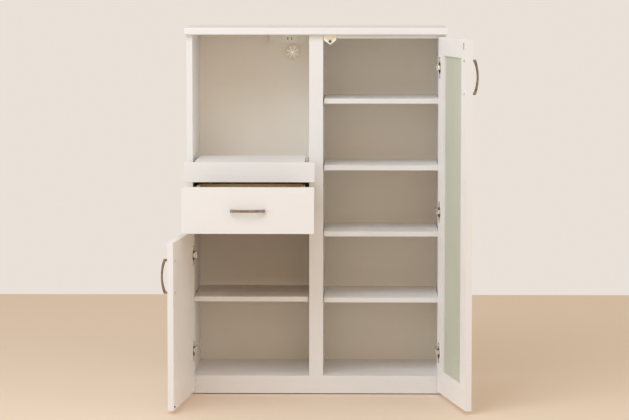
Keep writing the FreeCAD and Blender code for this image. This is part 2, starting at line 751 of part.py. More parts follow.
def hinge_arm(hand, z):
    """The arm that holds the pin: a knuckle and a bent tongue in the cup, and a block on the side panel."""
    body = doc.addObject("PartDesign::Body", f"{hand}_hinge_arm")
    outer_bend = "(nose_reach - 2 * nose_sheet)"
    inner_wall = "(nose_reach - arm_sheet)"
    tongue_low = "-knuckle_radius"
    tongue_high = "(nose_sheet - knuckle_radius)"
    profile = [
        ("0", tongue_low),
        (outer_bend, tongue_low),
        ("nose_reach", "(2 * nose_sheet - knuckle_radius)"),
        ("nose_reach", "arm_start + arm_sheet"),
        (inner_wall, "arm_start + arm_sheet"),
        (inner_wall, f"({tongue_high} + arm_sheet)"),
        (f"({inner_wall} - arm_sheet)", tongue_high),
        ("0", tongue_high),
    ]
    points = [(sideways(hand, distance), depth) for distance, depth in profile]
    pad(body, "arm_nose", outline(body, "arm_nose_side", "XY_Plane", points), "nose_width", centred=True)
    knuckle = body.newObject("PartDesign::AdditiveCylinder", "arm_knuckle")
    bind(knuckle, "Radius", "knuckle_radius")
    bind(knuckle, "Height", "nose_width")
    set_at(knuckle, "0", "0", "-nose_width / 2")
    near = f"({wall_distance} + hinge_plate_thick)"
    far = f"({near} + arm_thick)"
    crest = f"({far} - arm_bevel)"
    arm_end = "(arm_start + arm_length)"
    block = [
        (near, "arm_start"),
        (crest, "arm_start"),
        (far, "arm_start + arm_bevel"),
        (far, f"{arm_end} - 2 * arm_bevel"),
        (crest, arm_end),
        (near, arm_end),
    ]
    points = [(sideways(hand, distance), depth) for distance, depth in block]
    pad(body, "arm_block", outline(body, "arm_block_side", "XY_Plane", points), "arm_width", centred=True)
    eye = body.newObject("PartDesign::SubtractivePrism", "arm_eye")
    eye.Polygon = PEG_SIDES
    bind(eye, "Circumradius", "pin_radius + pin_play")
    bind(eye, "Height", "nose_width + 2 * overrun")
    set_at(eye, "0", "0", "-nose_width / 2 - overrun")
    set_at(body, frames[hand][0], frames[hand][1], z)
    return body


def hinge_plate(hand, z):
    """The plate on the side panel: a foot under the arm and two round-ended wings for the screws."""
    wall = f"-{side_inner}" if hand == "left" else side_inner
    inner = f"({wall} + hinge_plate_thick)" if hand == "left" else f"({wall} - hinge_plate_thick)"
    x = (wall, inner) if hand == "left" else (inner, wall)
    start = f"({front} + hinge_plate_inset)"
    middle = f"({start} + hinge_plate_length / 2)"
    foot_z = (f"({z} - arm_width / 2)", f"({z} + arm_width / 2)")
    foot = board("plate_foot", x, (start, f"({start} + hinge_plate_length)"), foot_z)
    reach = "((hinge_plate_height - plate_wing_width) / 2)"
    wing_y = (f"({middle} - plate_wing_width / 2)", f"({middle} + plate_wing_width / 2)")
    wing = board("plate_wing", x, wing_y, (f"({z} - {reach})", f"({z} + {reach})"))
    ends = [
        peg("plate_end", "x", (x[0], middle, f"({z} {side} {reach})"), "plate_wing_width / 2", "hinge_plate_thick")
        for side in ("-", "+")
    ]
    return fuse(f"{hand}_hinge_plate", [foot, wing] + ends)


def hinge_set(hand, heights):
    """All the hinges of one door. The bores that the door needs are given back."""
    cups, cup_bores, pins, arms, plates = [], [], [], [], []
    for z in heights:
        cup, bore = hinge_cup(hand, z)
        cups.append(cup)
        cup_bores.append(bore)
        pins.append(peg("hinge_pin", "z", ("0", "0", f"({z} - pin_reach)"), "pin_radius", "2 * pin_reach"))
        arms.append(hinge_arm(hand, z))
        plates.append(hinge_plate(hand, z))
    riding(f"{hand}_hinge_cups", cups, hand)
    riding(f"{hand}_hinge_pins", pins, hand)
    hinge_arms.extend(arms)
    hinge_plates.extend(plates)
    return cup_bores


def door_handle(hand, height):
    """An upright bow handle near the free edge of a door, with its screws and their bores."""
    x = sideways(hand, f"({door_width} - pin_edge - handle_from_edge)")
    bow = handle(f"{hand}_bow")
    bow.Placement = FreeCAD.Placement(FreeCAD.Vector(), FreeCAD.Rotation(BACKWARD, 90))
    set_at(bow, x, "pin_depth - door_thick", height)
    places = [(x, f"({height} - handle_pitch / 2)"), (x, f"({height} + handle_pitch / 2)")]
    screws, bores = handle_screws(f"{hand}_handle", places, "pin_depth", "door_thick")
    riding(f"{hand}_door_handle", [bow], hand)
    riding(f"{hand}_handle_screws", screws, hand)
    return bores


door_y = ("(pin_depth - door_thick)", "pin_depth")
free_edge = f"({door_width} - pin_edge)"

# Plain lower left door
left_bores = hinge_set("left", (f"({left_door_high} - left_hinge_drop)", "(door_bottom + left_hinge_rise)"))
left_bores += door_handle("left", f"({left_door_high} - left_handle_drop)")
left_panel_blank = eased_board(
    "left_panel_blank", across_door("left", "-pin_edge", free_edge), door_y, ("door_bottom", left_door_high),
    UPWARD, "front_edge_radius",
)
riding("left_door_panel", [cut("left_door_bored", left_panel_blank, left_bores)], "left")
bumper_at = (sideways("left", f"{free_edge} - bumper_inset"), "pin_depth", "door_bottom + bumper_inset")
riding("left_door_bumper", [peg("bumper", "y", bumper_at, "bumper_radius", "bumper_thick")], "left")

# Glazed right door: two stiles and two rails round a pane that beads hold in a rebate
right_heights = (
    f"({right_door_high} - right_hinge_drop)",
    f"(door_bottom + right_hinge_share * ({right_door_high} - door_bottom))",
    "(door_bottom + right_hinge_rise)",
)
right_bores = hinge_set("right", right_heights)
node("hinge_arms", group("hinge_arms", hinge_arms))
node("hinge_plates", group("hinge_plates", hinge_plates))
right_handle_bores = door_handle("right", f"({right_door_high} - right_handle_drop)")
door_z = ("door_bottom", right_door_high)
hinge_stile = ("-pin_edge", "(stile_width - pin_edge)")
free_stile = (f"({free_edge} - stile_width)", free_edge)
sight = (hinge_stile[1], free_stile[0])
sight_z = ("(door_bottom + frame_bottom_height)", f"({right_door_high} - frame_top_height)")
seat = (f"({sight[0]} - bead_width)", f"({sight[1]} + bead_width)")
seat_z = (f"({sight_z[0]} - bead_width)", f"({sight_z[1]} + bead_width)")
rebate_floor = "(pin_depth - rebate_depth)"
pane_face = f"({rebate_floor} + glass_thick)"
rebate = board("glass_rebate", across_door("right", *seat), (rebate_floor, "pin_depth + overrun"), seat_z)
frame_pieces = (
    ("hinge_stile", hinge_stile, door_z, right_bores),
    ("free_stile", free_stile, door_z, right_handle_bores),
    ("top_rail", sight, (sight_z[1], door_z[1]), []),
    ("bottom_rail", sight, (door_z[0], sight_z[0]), []),
)
for name, width, height, bores in frame_pieces:
    blank = board(f"right_door_{name}_blank", across_door("right", *width), door_y, height)
    riding(f"right_door_{name}", [cut(f"right_door_{name}_cut", blank, [rebate] + bores)], "right")
pane_x = across_door("right", f"({seat[0]} + glass_play)", f"({seat[1]} - glass_play)")
pane_z = (f"({seat_z[0]} + glass_play)", f"({seat_z[1]} - glass_play)")
riding("right_door_glass", [board("glass_pane", pane_x, (rebate_floor, pane_face), pane_z)], "right")
beads = []
for width, height in (
    ((seat[0], sight[0]), seat_z),
    ((sight[1], seat[1]), seat_z),
    (sight, (seat_z[0], sight_z[0])),
    (sight, (sight_z[1], seat_z[1])),
):
    beads.append(board("glass_bead", across_door("right", *width), (pane_face, "pin_depth"), height))
riding("right_door_glass_beads", beads, "right")
strike_middle = f"({pin_x} - {catch_middle})"
strike_x = across_door("right", f"({strike_middle} - strike_width / 2)", f"({strike_middle} + strike_width / 2)")
strike_high = f"({right_door_high} - strike_drop)"
strike_y = ("pin_depth", "(pin_depth + strike_thick)")
strike = board("strike", strike_x, strike_y, (f"({strike_high} - strike_height)", strike_high))
riding("right_strike_plate", [strike], "right")

doc.recompute()
faults = []
for thing in doc.Objects:
    if "Invalid" in thing.State or "Error" in thing.State:
        faults.append(f"{thing.Label} {thing.State}")
for made in nodes:
    if made.Shape.isNull() or not made.Shape.isValid() or not made.Shape.Solids:
        faults.append(f"{made.Label} has no sound solid")
if faults:
    raise SystemExit("\n".join(faults))

os.makedirs("parts", exist_ok=True)
for made in nodes:
    made.Shape.exportStep(f"parts/{made.Label}.step")
print(len(nodes), "pieces")
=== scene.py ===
import json
import math

import bmesh
import bpy
from mathutils import Matrix, Vector


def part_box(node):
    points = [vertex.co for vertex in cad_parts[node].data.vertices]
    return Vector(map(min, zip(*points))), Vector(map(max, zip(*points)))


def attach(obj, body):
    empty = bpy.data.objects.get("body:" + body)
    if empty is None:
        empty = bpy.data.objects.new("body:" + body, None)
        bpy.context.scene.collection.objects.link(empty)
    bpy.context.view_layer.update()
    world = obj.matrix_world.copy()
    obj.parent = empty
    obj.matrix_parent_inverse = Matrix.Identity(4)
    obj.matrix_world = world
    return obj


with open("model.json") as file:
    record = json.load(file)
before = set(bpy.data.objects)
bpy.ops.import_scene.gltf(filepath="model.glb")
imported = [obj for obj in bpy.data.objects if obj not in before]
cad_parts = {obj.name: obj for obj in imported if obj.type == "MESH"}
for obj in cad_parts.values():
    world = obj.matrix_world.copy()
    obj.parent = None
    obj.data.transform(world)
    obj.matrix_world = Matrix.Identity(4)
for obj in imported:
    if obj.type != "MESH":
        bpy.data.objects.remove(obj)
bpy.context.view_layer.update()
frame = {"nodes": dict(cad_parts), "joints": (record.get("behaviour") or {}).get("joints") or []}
cad = frame["nodes"]


# Carcass boards: sides, partition, bottom, plinths and fixed boards of particle board, wrapped in
# satin white sheet and edged with a thin strip. They are dowelled and glued together at the works.


def new_finish(name):
    """An empty finish, its node tree and its shader."""
    finish = bpy.data.materials.new(name)
    finish.use_nodes = True
    return finish, finish.node_tree, finish.node_tree.nodes["Principled BSDF"]


def add(tree, kind, inputs=None, **settings):
    """A new node; an input that is given a socket is linked, and any other is set."""
    node = tree.nodes.new(kind)
    for setting, value in settings.items():
        setattr(node, setting, value)
    for socket, value in (inputs or {}).items():
        if isinstance(value, bpy.types.NodeSocket):
            tree.links.new(value, node.inputs[socket])
        else:
            node.inputs[socket].default_value = value
    return node


def reckon(tree, operation, first, second=0.0):
    """What a sum of one or two values comes to, worked out by a node."""
    return add(tree, "ShaderNodeMath", {0: first, 1: second}, operation=operation).outputs["Value"]


def noise(tree, place, scale, detail, roughness=0.5, distortion=0.0):
    """Noise over a piece, from 0 to 1."""
    return add(tree, "ShaderNodeTexNoise", {
        "Vector": place, "Scale": scale, "Detail": detail, "Roughness": roughness, "Distortion": distortion,
    }).outputs["Fac"]


def toned(tree, value, *stops):
    """A colour that follows a value through stops, each a position and a colour."""
    node = add(tree, "ShaderNodeValToRGB", {"Fac": value})
    elements = node.color_ramp.elements
    while len(elements) < len(stops):
        elements.new(0.5)
    for element, (position, colour) in zip(elements, stops):
        element.position = position
        element.color = (*colour, 1.0)
    return node.outputs["Color"]


def between(tree, value, low, high):
    """A value from 0 to 1, brought between two others."""
    return add(tree, "ShaderNodeMapRange", {"Value": value, "To Min": low, "To Max": high}).outputs["Result"]


def feed(tree, shader, colour, roughness):
    """Gives a shader a colour and a roughness that vary over the surface."""
    tree.links.new(colour, shader.inputs["Base Color"])
    tree.links.new(roughness, shader.inputs["Roughness"])


def raised(tree, shader, height, strength, distance):
    """Gives a shader bumps that follow a height."""
    bump = add(tree, "ShaderNodeBump", {"Height": height, "Strength": strength, "Distance": distance})
    tree.links.new(bump.outputs["Normal"], shader.inputs["Normal"])


def facing(tree, normal, axis, least):
    """One where a face looks along an axis of its own piece, and zero elsewhere."""
    way = add(tree, "ShaderNodeSeparateXYZ", {"Vector": normal}).outputs[axis]
    return reckon(tree, "GREATER_THAN" if least > 0 else "LESS_THAN", way, least)


# Faces that get the darker outer tone, which is painted shade: those that look forward, and on the sides and
# doors those that look out to the left or the right.
FRONT = (("Y", -0.7),)
FRONT_AND_LEFT = (*FRONT, ("X", -0.7))
FRONT_AND_RIGHT = (*FRONT, ("X", 0.7))


def wrapped_board(name, colour, shaded, outer_shade_tone, roughness, outer_ways=FRONT):
    """Sheet wrapped on board: faint clouds, a fine pebbled skin, and on the outer faces a darker tone that is
    painted shade.
    """
    gloss_spread = 0.07
    finish, tree, shader = new_finish(name)
    coordinates = add(tree, "ShaderNodeTexCoord").outputs
    cloud = noise(tree, coordinates["Object"], scale=5.0, detail=5.0, roughness=0.62)
    sheet = toned(tree, cloud, (0.32, shaded), (0.62, colour))
    outer = 0.0
    for axis, least in outer_ways:
        outer = reckon(tree, "MAXIMUM", outer, facing(tree, coordinates["Normal"], axis, least))
    tone = add(tree, "ShaderNodeMix", {
        "Factor": outer, "A": sheet, "B": (*outer_shade_tone, 1.0),
    }, data_type="RGBA").outputs["Result"]
    feed(tree, shader, tone, between(tree, cloud, roughness - gloss_spread, roughness + gloss_spread))
    skin = noise(tree, coordinates["Object"], scale=650.0, detail=2.0)
    raised(tree, shader, skin, strength=0.12, distance=0.0003)
    shader.inputs["Specular IOR Level"].default_value = 0.4
    return finish


def dress(finish, *names):
    """Gives a finish to whole pieces of the frame."""
    for name in names:
        for slot in cad[name].material_slots:
            slot.material = finish


WELD_GAP = 0.00001


def ease(width, *names):
    """Breaks the sharp edges of pieces, as their edge strips and sanding do."""
    for name in names:
        weld = cad[name].modifiers.new("weld", "WELD")
        weld.merge_threshold = WELD_GAP
        rounding = cad[name].modifiers.new("ease", "BEVEL")
        rounding.width = width
        rounding.segments = 2
        rounding.limit_method = "ANGLE"
        rounding.angle_limit = math.radians(40)


# The outer white is painted shade. Faces that look out get a greyer white than the same sheet inside, to hold
# back the lamp light that falls on them.
SATIN = (0.930, 0.903, 0.885)
SATIN_SHADED = (0.905, 0.873, 0.850)
OUTER_PAINTED_SHADE = (0.755, 0.730, 0.716)
SATIN_ROUGHNESS = 0.46
satin_look = (SATIN, SATIN_SHADED, OUTER_PAINTED_SHADE, SATIN_ROUGHNESS)
satin_white = wrapped_board("satin_white", *satin_look)
left_white = wrapped_board("left_white", *satin_look, FRONT_AND_LEFT)
right_white = wrapped_board("right_white", *satin_look, FRONT_AND_RIGHT)
carcass_boards = (
    "centre_partition", "bottom_board", "front_plinth", "rear_plinth", "plinth_bearer", "right_top_rail",
    "niche_floor_board",
)
board_break = 0.0006
dress(satin_white, *carcass_boards)
dress(left_white, "left_side_panel")
dress(right_white, "right_side_panel")
ease(board_break, *carcass_boards, "left_side_panel", "right_side_panel")


# Loose shelves: thinner wrapped boards with the same strip on all four edges. Each lies on four
# steel pins, which push into bores in the walls, so that it lifts out for cleaning.

shelves = ("left_shelf", "right_shelf_1", "right_shelf_2", "right_shelf_3", "right_shelf_4")
shelf_break = 0.0008
dress(satin_white, *shelves)
ease(shelf_break, *shelves)


def plated_steel(name, colour, dull, roughness, streak):
    """Plated sheet steel: fine streaks along the rolling direction and cloudy dull spots."""
    smoother, rougher = 0.12, 0.14
    finish, tree, shader = new_finish(name)
    place = add(tree, "ShaderNodeTexCoord").outputs["Object"]
    along = add(tree, "ShaderNodeMapping", {"Vector": place, "Scale": streak}).outputs["Vector"]
    grain = noise(tree, along, scale=300.0, detail=4.0)
    cloud = noise(tree, place, scale=60.0, detail=3.0)
    tone = toned(tree, cloud, (0.35, dull), (0.65, colour))
    feed(tree, shader, tone, between(tree, grain, roughness - smoother, roughness + rougher))
    raised(tree, shader, grain, strength=0.08, distance=0.0001)
    shader.inputs["Metallic"].default_value = 1.0
    return finish


ALONG_DEPTH = (1.0, 0.04, 1.0)
ZINC, DULL_ZINC = (0.66, 0.66, 0.65), (0.52, 0.52, 0.50)
zinc = plated_steel("zinc_plate", ZINC, DULL_ZINC, roughness=0.34, streak=ALONG_DEPTH)
dress(zinc, "shelf_pins")


# Top board: a thicker board under a smooth white lacquered sheet that wraps round its front edge.
# It covers the sides and overhangs the fronts, and is dowelled on from above.

# The smooth white is painted shade: a darker copy of the satin white for the top board and the fronts, whose
# faces catch the most lamp light. Its lower roughness is the sheet's own.
SMOOTH, SMOOTH_SHADED = (0.800, 0.776, 0.755), (0.780, 0.753, 0.728)
smooth_white = wrapped_board("smooth_white", SMOOTH, SMOOTH_SHADED, OUTER_PAINTED_SHADE, roughness=0.36)
dress(smooth_white, "top_board")


# Back panels: thin fibreboard, printed white on the room side and left brown behind. They sit in a
# rebate of the sides and are screwed to the rear edges of the partition and of the fixed boards.


def leave_raw(finish, axis, least):
    """Leaves the faces that look along an axis as bare brown fibreboard, and gives its felted grain."""
    tree = finish.node_tree
    shader = tree.nodes["Principled BSDF"]
    coordinates = add(tree, "ShaderNodeTexCoord").outputs
    bare = facing(tree, coordinates["Normal"], axis, least)
    felt = noise(tree, coordinates["Object"], scale=240.0, detail=6.0, roughness=0.7)
    brown = toned(tree, felt, (0.3, (0.275, 0.150, 0.072)), (0.7, (0.405, 0.240, 0.125)))
    for quality, raw, kind in (("Base Color", brown, "RGBA"), ("Roughness", 0.82, "FLOAT")):
        covered = shader.inputs[quality].links[0].from_socket
        both = add(tree, "ShaderNodeMix", {"Factor": bare, "A": covered, "B": raw}, data_type=kind)
        tree.links.new(both.outputs["Result"], shader.inputs[quality])
    return felt


back_sheet, tree, shader = new_finish("back_sheet")
cloud = noise(tree, add(tree, "ShaderNodeTexCoord").outputs["Object"], scale=4.0, detail=4.0)
printed = toned(tree, cloud, (0.3, (0.900, 0.828, 0.710)), (0.65, (0.925, 0.858, 0.755)))
feed(tree, shader, printed, between(tree, cloud, 0.46, 0.54))
raised(tree, shader, leave_raw(back_sheet, "Y", 0.5), strength=0.15, distance=0.0004)
dress(back_sheet, "left_back_panel", "right_back_panel")


def new_tree(name, inputs, output):
    """An empty tree of Geometry Nodes with named inputs, and the sockets that hold what they are given."""
    tree = bpy.data.node_groups.new(name, "GeometryNodeTree")
    tree.is_modifier = True
    for title, kind in inputs.items():
        tree.interface.new_socket(title, in_out="INPUT", socket_type="NodeSocket" + kind)
    tree.interface.new_socket(output, in_out="OUTPUT", socket_type="NodeSocketGeometry")
    return tree, add(tree, "NodeGroupInput").outputs


def shell(tree, *sheets):
    """One closed shell of sheets that meet along their edges."""
    joined = add(tree, "GeometryNodeJoinGeometry")
    for sheet in sheets:
        tree.links.new(sheet, joined.inputs["Geometry"])
    return add(tree, "GeometryNodeMergeByDistance", {
        "Geometry": joined.outputs["Geometry"], "Distance": WELD_GAP,
    }).outputs["Geometry"]


def end_tree(tree, instances, material):
    """Ends a tree in real geometry with its material."""
    real = add(tree, "GeometryNodeRealizeInstances", {"Geometry": instances}).outputs["Geometry"]
    coated = add(tree, "GeometryNodeSetMaterial", {"Geometry": real, "Material": material})
    tree.links.new(coated.outputs["Geometry"], add(tree, "NodeGroupOutput").inputs[0])


def grown(name, points, tree, values):
    """A piece of plain mesh that a tree makes on points, from these values for its inputs."""
    piece = bpy.data.objects.new(name, points)
    bpy.context.scene.collection.objects.link(piece)
    modifier = piece.modifiers.new(tree.name, "NODES")
    modifier.node_group = tree
    for port in tree.interface.items_tree:
        if port.in_out == "INPUT" and port.name in values:
            modifier[port.identifier] = values[port.name]
    whole = piece.evaluated_get(bpy.context.evaluated_depsgraph_get())
    mesh = bpy.data.meshes.new_from_object(whole)
    piece.modifiers.clear()
    piece.data = mesh
    return piece


def screw_tree():
    """Cross-head screws on points: a low dome with a tapered cross pressed into it, turned at random."""
    tree, given = new_tree("cross_head_screws", {
        "Places": "Geometry", "Head Radius": "Float", "Head Height": "Float", "Recess Depth": "Float",
        "Turn Seed": "Int", "Metal": "Material",
    }, "Screws")

    def times(first, second):
        return reckon(tree, "MULTIPLY", first, second)

    def rest_of_one(value):
        return reckon(tree, "SUBTRACT", 1.0, value)

    # A square sheet has its lines drawn in towards the middle, and its edge is bent to a circle.
    lines, arm_half, arm_reach = 11, 0.3, 0.7
    sheet = add(tree, "GeometryNodeMeshGrid", {
        "Size X": 2.0, "Size Y": 2.0, "Vertices X": lines, "Vertices Y": lines,
    }).outputs["Mesh"]
    place = add(tree, "GeometryNodeInputPosition").outputs["Position"]
    square = add(tree, "ShaderNodeSeparateXYZ", {"Vector": place}).outputs
    reach = {axis: reckon(tree, "ABSOLUTE", square[axis]) for axis in "XY"}
    drawn_in = {axis: times(square[axis], reach[axis]) for axis in "XY"}
    disc = {}
    arms = 0.0
    across = 0.0
    for axis, other in ("XY", "YX"):
        bulge = times(times(drawn_in[other], drawn_in[other]), 0.5)
        disc[axis] = times(drawn_in[axis], reckon(tree, "SQRT", rest_of_one(bulge)))
        across = reckon(tree, "ADD", across, times(disc[axis], disc[axis]))
        narrow = reckon(tree, "LESS_THAN", reach[axis], arm_half)
        short = reckon(tree, "LESS_THAN", reach[other], arm_reach)
        arms = reckon(tree, "MAXIMUM", arms, times(narrow, short))

    # The domed sheet with the cross and a flat one under it meet at the rim.
    dome = times(rest_of_one(times(across, across)), given["Head Height"])
    crossed = reckon(tree, "SUBTRACT", dome, times(arms, given["Recess Depth"]))
    sheets = []
    for height in (crossed, 0.0):
        spot = add(tree, "ShaderNodeCombineXYZ", {
            "X": times(disc["X"], given["Head Radius"]), "Y": times(disc["Y"], given["Head Radius"]),
            "Z": height,
        }).outputs["Vector"]
        laid = add(tree, "GeometryNodeSetPosition", {"Geometry": sheet, "Position": spot}).outputs["Geometry"]
        split = add(tree, "GeometryNodeTriangulate", {"Mesh": laid}, quad_method="SHORTEST_DIAGONAL")
        sheets.append(split.outputs["Mesh"])
    under = add(tree, "GeometryNodeFlipFaces", {"Mesh": sheets[1]}).outputs["Mesh"]
    head = shell(tree, sheets[0], under)

    # Each head faces its own way outward, and is turned about that way at random.
    outward = add(tree, "GeometryNodeInputNamedAttribute", {"Name": "outward"}, data_type="FLOAT_VECTOR")
    stood = add(tree, "FunctionNodeAlignRotationToVector", {
        "Vector": outward.outputs["Attribute"],
    }, axis="Z").outputs["Rotation"]
    turn = add(tree, "FunctionNodeRandomValue", {
        "Max": math.pi, "Seed": given["Turn Seed"],
    }, data_type="FLOAT").outputs["Value"]
    about = add(tree, "ShaderNodeCombineXYZ", {"Z": turn}).outputs["Vector"]
    spin = add(tree, "FunctionNodeEulerToRotation", {"Euler": about}).outputs["Rotation"]
    driven = add(tree, "FunctionNodeRotateRotation", {
        "Rotation": stood, "Rotate By": spin,
    }, rotation_space="LOCAL").outputs["Rotation"]
    placed = add(tree, "GeometryNodeInstanceOnPoints", {
        "Points": given["Places"], "Instance": head, "Rotation": driven,
    }).outputs["Instances"]
    end_tree(tree, placed, given["Metal"])
    return tree


screws = screw_tree()


def screw_set(name, body, metal, radius, places):
    """Screw heads at places, each a point and the way that its head faces, on one body."""
    height_share, recess_share, turn_seed = 0.45, 0.34, 7
    points = bpy.data.meshes.new(name + "_places")
    points.from_pydata([point for point, outward in places], [], [])
    ways = points.attributes.new("outward", "FLOAT_VECTOR", "POINT")
    for entry, (point, outward) in zip(ways.data, places):
        entry.vector = outward
    piece = grown(name, points, screws, {
        "Head Radius": radius, "Head Height": radius * height_share, "Recess Depth": radius * recess_share,
        "Turn Seed": turn_seed, "Metal": metal,
    })
    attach(piece, body)


BACKWARD = Vector((0, 1, 0))
back_low, back_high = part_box("left_back_panel")
right_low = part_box("right_back_panel")[0]
rear = back_high.y
edge_inset = 0.010
partition_rows = 7
board_screw_shares = {
    "bottom_board": (0.1, 0.3, 0.7, 0.9),
    "niche_floor_board": (0.2, 0.5, 0.8),
    "drawer_floor_board": (0.2, 0.5, 0.8),
}
back_screw_radius = 0.0036
back_places = []
run = back_high.z - back_low.z - 2 * edge_inset
for row in range(partition_rows):
    z = back_low.z + edge_inset + run * row / (partition_rows - 1)
    for x in (back_high.x - edge_inset, right_low.x + edge_inset):
        back_places.append(((x, rear, z), BACKWARD))
for name, shares in board_screw_shares.items():
    low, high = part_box(name)
    for share in shares:
        back_places.append(((low.x + (high.x - low.x) * share, rear, (low.z + high.z) / 2), BACKWARD))
screw_set("back_screws", "carcass", zinc, back_screw_radius, back_places)


# Board under the drawer: wrapped like the others on its top and its edges, and left bare beneath,
# where only the ceiling of the lower cupboard shows it. It is dowelled to the side and the partition.

# The bare brown underside is a plausible face of the board, and is made brown also as painted shade: it
# stands in for the warm shade under the drawer in the lower cupboard.
dust_white = wrapped_board("dust_white", *satin_look)
leave_raw(dust_white, "Z", -0.7)
dress(dust_white, "drawer_floor_board")
ease(board_break, "drawer_floor_board")


# Glides, socket box and catch plate: small moulded parts in ivory plastic, with the socket itself in a
# smoother white. The glides are nailed under the sides, and the box and the plate screwed on from below.


def moulded(name, colour, shaded, roughness):
    """Moulded plastic: a fine even spark-eroded skin and a hint of flow marks."""
    gloss_spread = 0.08
    finish, tree, shader = new_finish(name)
    place = add(tree, "ShaderNodeTexCoord").outputs["Object"]
    flow = noise(tree, place, scale=22.0, detail=2.0, distortion=0.6)
    spark = noise(tree, place, scale=1600.0, detail=2.0)
    tone = toned(tree, flow, (0.35, shaded), (0.65, colour))
    feed(tree, shader, tone, between(tree, spark, roughness - gloss_spread, roughness + gloss_spread))
    raised(tree, shader, spark, strength=0.2, distance=0.0001)
    return finish


ivory = moulded("ivory_plastic", (0.90, 0.84, 0.71), (0.87, 0.80, 0.66), roughness=0.48)
socket_white = moulded("socket_white", (0.92, 0.88, 0.77), (0.90, 0.85, 0.72), roughness=0.28)
moulding_break, socket_break = 0.0008, 0.0004
dress(ivory, "floor_glides", "outlet_box", "catch_plate")
dress(socket_white, "outlet_socket")
ease(moulding_break, "outlet_box", "catch_plate")
ease(socket_break, "outlet_socket")


# Socket contacts: two folded brass leaves deep in the slots of the socket, coloured nearly black as painted
# shade for the dark slots.
# Each is one strip bent to a U, open to the front, that grips the blade of a plug.

slot_shade_brass, tree, shader = new_finish("brass_with_painted_slot_shade")
mottle = noise(tree, add(tree, "ShaderNodeTexCoord").outputs["Object"], scale=700.0, detail=3.0)
# The near-black of the leaves is painted shade, which stands in for the shade deep in the slots.
dark = toned(tree, mottle, (0.35, (0.040, 0.026, 0.014)), (0.65, (0.085, 0.055, 0.028)))
feed(tree, shader, dark, between(tree, mottle, 0.45, 0.65))
shader.inputs["Metallic"].default_value = 0.6
socket_low, socket_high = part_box("outlet_socket")
slot_pitch, slot_width, slot_height, slot_depth = 0.0127, 0.0024, 0.0085, 0.006
leaf_thick, leaf_inset = 0.0006, 0.0008
outer = slot_width / 2
inner = outer - leaf_thick
mouth = socket_low.y + leaf_inset
slot_end = socket_low.y + slot_depth
bend = slot_end - leaf_thick
leaf_outline = (
    (-outer, mouth), (-inner, mouth), (-inner, bend), (inner, bend),
    (inner, mouth), (outer, mouth), (outer, slot_end), (-outer, slot_end),
)
foot = (socket_low.z + socket_high.z - slot_height) / 2
leaves = bmesh.new()
for side in (-1, 1):
    middle = (socket_low.x + socket_high.x) / 2 + side * slot_pitch / 2
    strip = leaves.faces.new([leaves.verts.new((middle + x, y, foot)) for x, y in leaf_outline])
    lifted = bmesh.ops.extrude_face_region(leaves, geom=[strip])["geom"]
    top_corners = [part for part in lifted if isinstance(part, bmesh.types.BMVert)]
    bmesh.ops.translate(leaves, vec=(0, 0, slot_height), verts=top_corners)
bmesh.ops.recalc_face_normals(leaves, faces=leaves.faces)
contact_mesh = bpy.data.meshes.new("socket_contacts")
leaves.to_mesh(contact_mesh)
leaves.free()
contact_mesh.materials.append(slot_shade_brass)
contacts = bpy.data.objects.new("socket_contacts", contact_mesh)
bpy.context.scene.collection.objects.link(contacts)
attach(contacts, "carcass")


# Cord ring and flaps: a beige plastic ring that snaps into the back panel, moulded in one with a star
# of soft leaves. Narrow slits part the leaves, which hide the hole and bend aside for a plug.


def flap_tree():
    """Leaves round each point, drawn in between two radii and dished towards the back."""
    tree, given = new_tree("cord_flaps", {
        "Places": "Geometry", "Count": "Int", "Outer Radius": "Float", "Core Radius": "Float",
        "Slit Width": "Float", "Dish Depth": "Float", "Thickness": "Float", "Plastic": "Material",
    }, "Flaps")

    def times(first, second):
        return reckon(tree, "MULTIPLY", first, second)

    # One leaf is a small sheet: its length runs out along the radius, and its width round the ring.
    lines_out, lines_round = 6, 5
    sheet = add(tree, "GeometryNodeMeshGrid", {
        "Size X": 1.0, "Size Y": 1.0, "Vertices X": lines_out, "Vertices Y": lines_round,
    }).outputs["Mesh"]
    place = add(tree, "GeometryNodeInputPosition").outputs["Position"]
    flat = add(tree, "ShaderNodeSeparateXYZ", {"Vector": place}).outputs
    outward = reckon(tree, "ADD", flat["X"], 0.5)
    inward = reckon(tree, "SUBTRACT", 1.0, outward)
    reach = reckon(tree, "SUBTRACT", given["Outer Radius"], given["Core Radius"])
    radius = reckon(tree, "ADD", given["Core Radius"], times(outward, reach))
    share_of_turn = reckon(tree, "DIVIDE", math.tau, given["Count"])
    slit = reckon(tree, "DIVIDE", given["Slit Width"], radius)
    angle = times(flat["Y"], reckon(tree, "SUBTRACT", share_of_turn, slit))
    bent = add(tree, "ShaderNodeCombineXYZ", {
        "X": times(radius, reckon(tree, "COSINE", angle)),
        "Y": times(given["Dish Depth"], times(inward, inward)),
        "Z": times(radius, reckon(tree, "SINE", angle)),
    }).outputs["Vector"]
    leaf = add(tree, "GeometryNodeSetPosition", {"Geometry": sheet, "Position": bent}).outputs["Geometry"]
    front = add(tree, "GeometryNodeExtrudeMesh", {
        "Mesh": leaf, "Offset": (0.0, -1.0, 0.0), "Offset Scale": given["Thickness"], "Individual": False,
    }).outputs["Mesh"]
    back = add(tree, "GeometryNodeFlipFaces", {"Mesh": leaf}).outputs["Mesh"]

    # The leaves stand round the ring at even steps.
    turn = times(add(tree, "GeometryNodeInputIndex").outputs["Index"], share_of_turn)
    about = add(tree, "ShaderNodeCombineXYZ", {"Y": turn}).outputs["Vector"]
    spin = add(tree, "FunctionNodeEulerToRotation", {"Euler": about}).outputs["Rotation"]
    spokes = add(tree, "GeometryNodePoints", {"Count": given["Count"]}).outputs["Points"]
    ring = add(tree, "GeometryNodeInstanceOnPoints", {
        "Points": spokes, "Instance": shell(tree, front, back), "Rotation": spin,
    }).outputs["Instances"]
    placed = add(tree, "GeometryNodeInstanceOnPoints", {
        "Points": given["Places"], "Instance": ring,
    }).outputs["Instances"]
    end_tree(tree, placed, given["Plastic"])
    return tree


